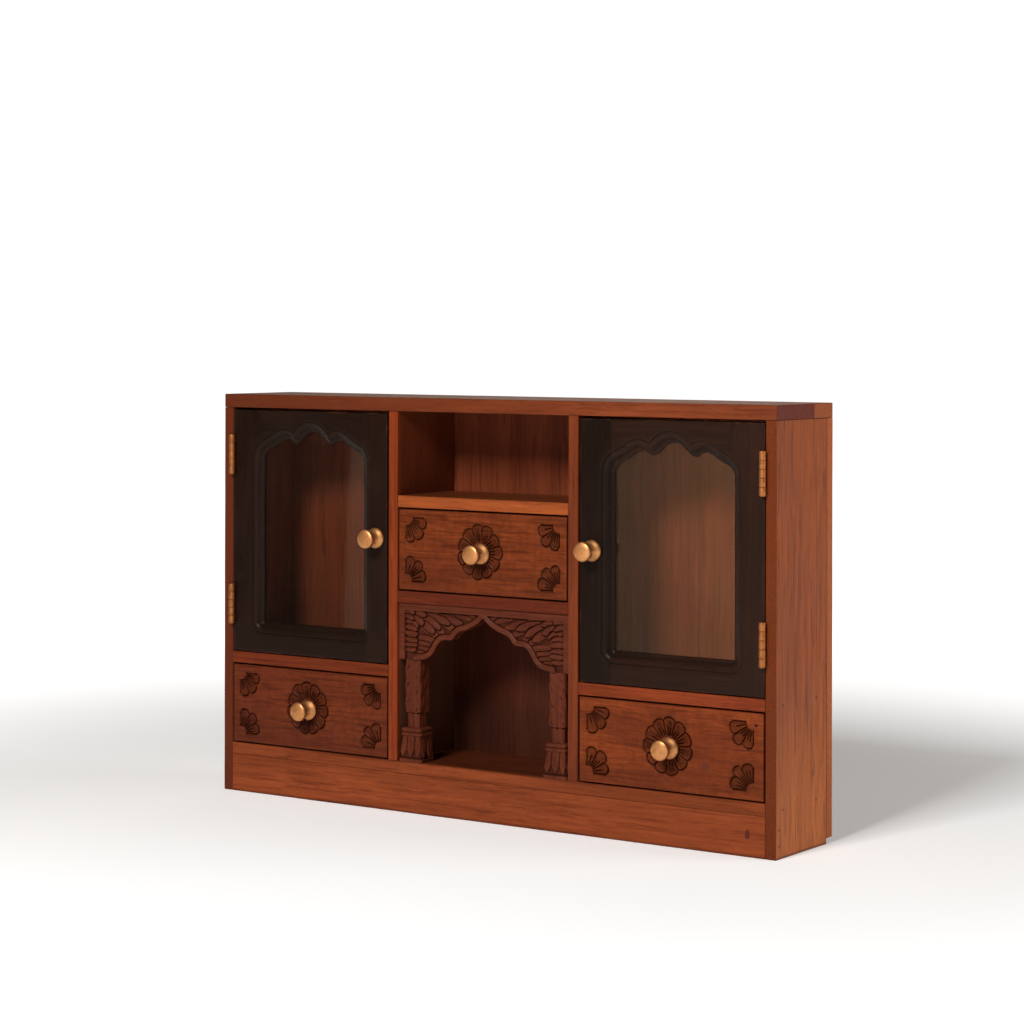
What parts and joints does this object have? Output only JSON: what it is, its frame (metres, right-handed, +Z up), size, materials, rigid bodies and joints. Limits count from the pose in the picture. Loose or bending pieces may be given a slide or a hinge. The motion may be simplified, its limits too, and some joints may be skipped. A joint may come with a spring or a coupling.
{
  "type": "desktop cabinet with doors",
  "caption": "Wooden desktop cabinet with two glazed doors on butt hinges, carved drawers with brass knobs, an open cubby and an arched niche with columns.",
  "frame": {"origin": "under the middle of the whole outline, knobs included, on the plane that it stands on", "axes": "+X to the viewer's right along the front, +Y from the front to the back, +Z up"},
  "size_m": [0.61, 0.1194, 0.384],
  "materials": {
    "carcass_wood": "satin red-brown stain and lacquer",
    "side_wood": "satin red-brown stain, lighter, upright grain",
    "drawer_front_wood": "satin orange-brown lacquer, carved, dark in the cuts",
    "carved_wood": "satin dark red-brown, carved",
    "drawer_box_wood": "bare wood, lightly oiled",
    "back_wood": "satin dark red-brown, upright grain",
    "ebonised_wood": "near-black satin stain",
    "glass": "clear float glass",
    "knob_brass": "aged satin brass",
    "aged_brass": "aged brass, dull",
    "steel": "dull zinc-plated steel",
    "catch_plastic": "brown moulded plastic with a steel-faced magnet"
  },
  "bodies": {
    "root": {"top_board": "carcass_wood", "left_side": "side_wood", "right_side": "side_wood", "left_divider": "carcass_wood", "right_divider": "carcass_wood", "bottom_board": "carcass_wood", "plinth_board": "carcass_wood", "left_shelf": "carcass_wood", "right_shelf": "carcass_wood", "cubby_shelf": "carcass_wood", "niche_ceiling": "carcass_wood", "niche_arch": "carved_wood", "left_column": "carved_wood", "right_column": "carved_wood", "back_panel": "back_wood", "carcass_nails": "steel", "hinge_frame_leaves": "aged_brass", "hinge_pins": "aged_brass", "hinge_frame_screws": "aged_brass", "door_catches": "catch_plastic"},
    "left_door": {"left_door_hinge_stile": "ebonised_wood", "left_door_latch_stile": "ebonised_wood", "left_door_top_rail": "ebonised_wood", "left_door_bottom_rail": "ebonised_wood", "left_door_glass": "glass", "left_door_glass_beads": "ebonised_wood", "left_door_knob": "knob_brass", "left_door_knob_screw": "steel", "left_door_strike_plate": "steel", "left_door_hinge_leaves": "aged_brass", "left_door_hinge_screws": "aged_brass"},
    "right_door": {"right_door_hinge_stile": "ebonised_wood", "right_door_latch_stile": "ebonised_wood", "right_door_top_rail": "ebonised_wood", "right_door_bottom_rail": "ebonised_wood", "right_door_glass": "glass", "right_door_glass_beads": "ebonised_wood", "right_door_knob": "knob_brass", "right_door_knob_screw": "steel", "right_door_strike_plate": "steel", "right_door_hinge_leaves": "aged_brass", "right_door_hinge_screws": "aged_brass"},
    "left_drawer": {"left_drawer_front": "drawer_front_wood", "left_drawer_sides": "drawer_box_wood", "left_drawer_back": "drawer_box_wood", "left_drawer_bottom": "drawer_box_wood", "left_drawer_knob": "knob_brass", "left_drawer_knob_screw": "steel"},
    "center_drawer": {"center_drawer_front": "drawer_front_wood", "center_drawer_sides": "drawer_box_wood", "center_drawer_back": "drawer_box_wood", "center_drawer_bottom": "drawer_box_wood", "center_drawer_knob": "knob_brass", "center_drawer_knob_screw": "steel"},
    "right_drawer": {"right_drawer_front": "drawer_front_wood", "right_drawer_sides": "drawer_box_wood", "right_drawer_back": "drawer_box_wood", "right_drawer_bottom": "drawer_box_wood", "right_drawer_knob": "knob_brass", "right_drawer_knob_screw": "steel"}
  },
  "joints": [
    {"name": "left_door_hinge", "type": "hinge", "parent": "root", "child": "left_door", "pos_m": [-0.2931, -0.04395, 0.2537], "axis": [0, 0, -1], "range_deg": [0, 170]},
    {"name": "right_door_hinge", "type": "hinge", "parent": "root", "child": "right_door", "pos_m": [0.2931, -0.04395, 0.2537], "axis": [0, 0, 1], "range_deg": [0, 170]},
    {"name": "left_drawer_slide", "type": "slide", "parent": "root", "child": "left_drawer", "axis": [0, -1, 0], "range_m": [0, 0.07]},
    {"name": "center_drawer_slide", "type": "slide", "parent": "root", "child": "center_drawer", "axis": [0, -1, 0], "range_m": [0, 0.07]},
    {"name": "right_drawer_slide", "type": "slide", "parent": "root", "child": "right_drawer", "axis": [0, -1, 0], "range_m": [0, 0.07]}
  ]
}
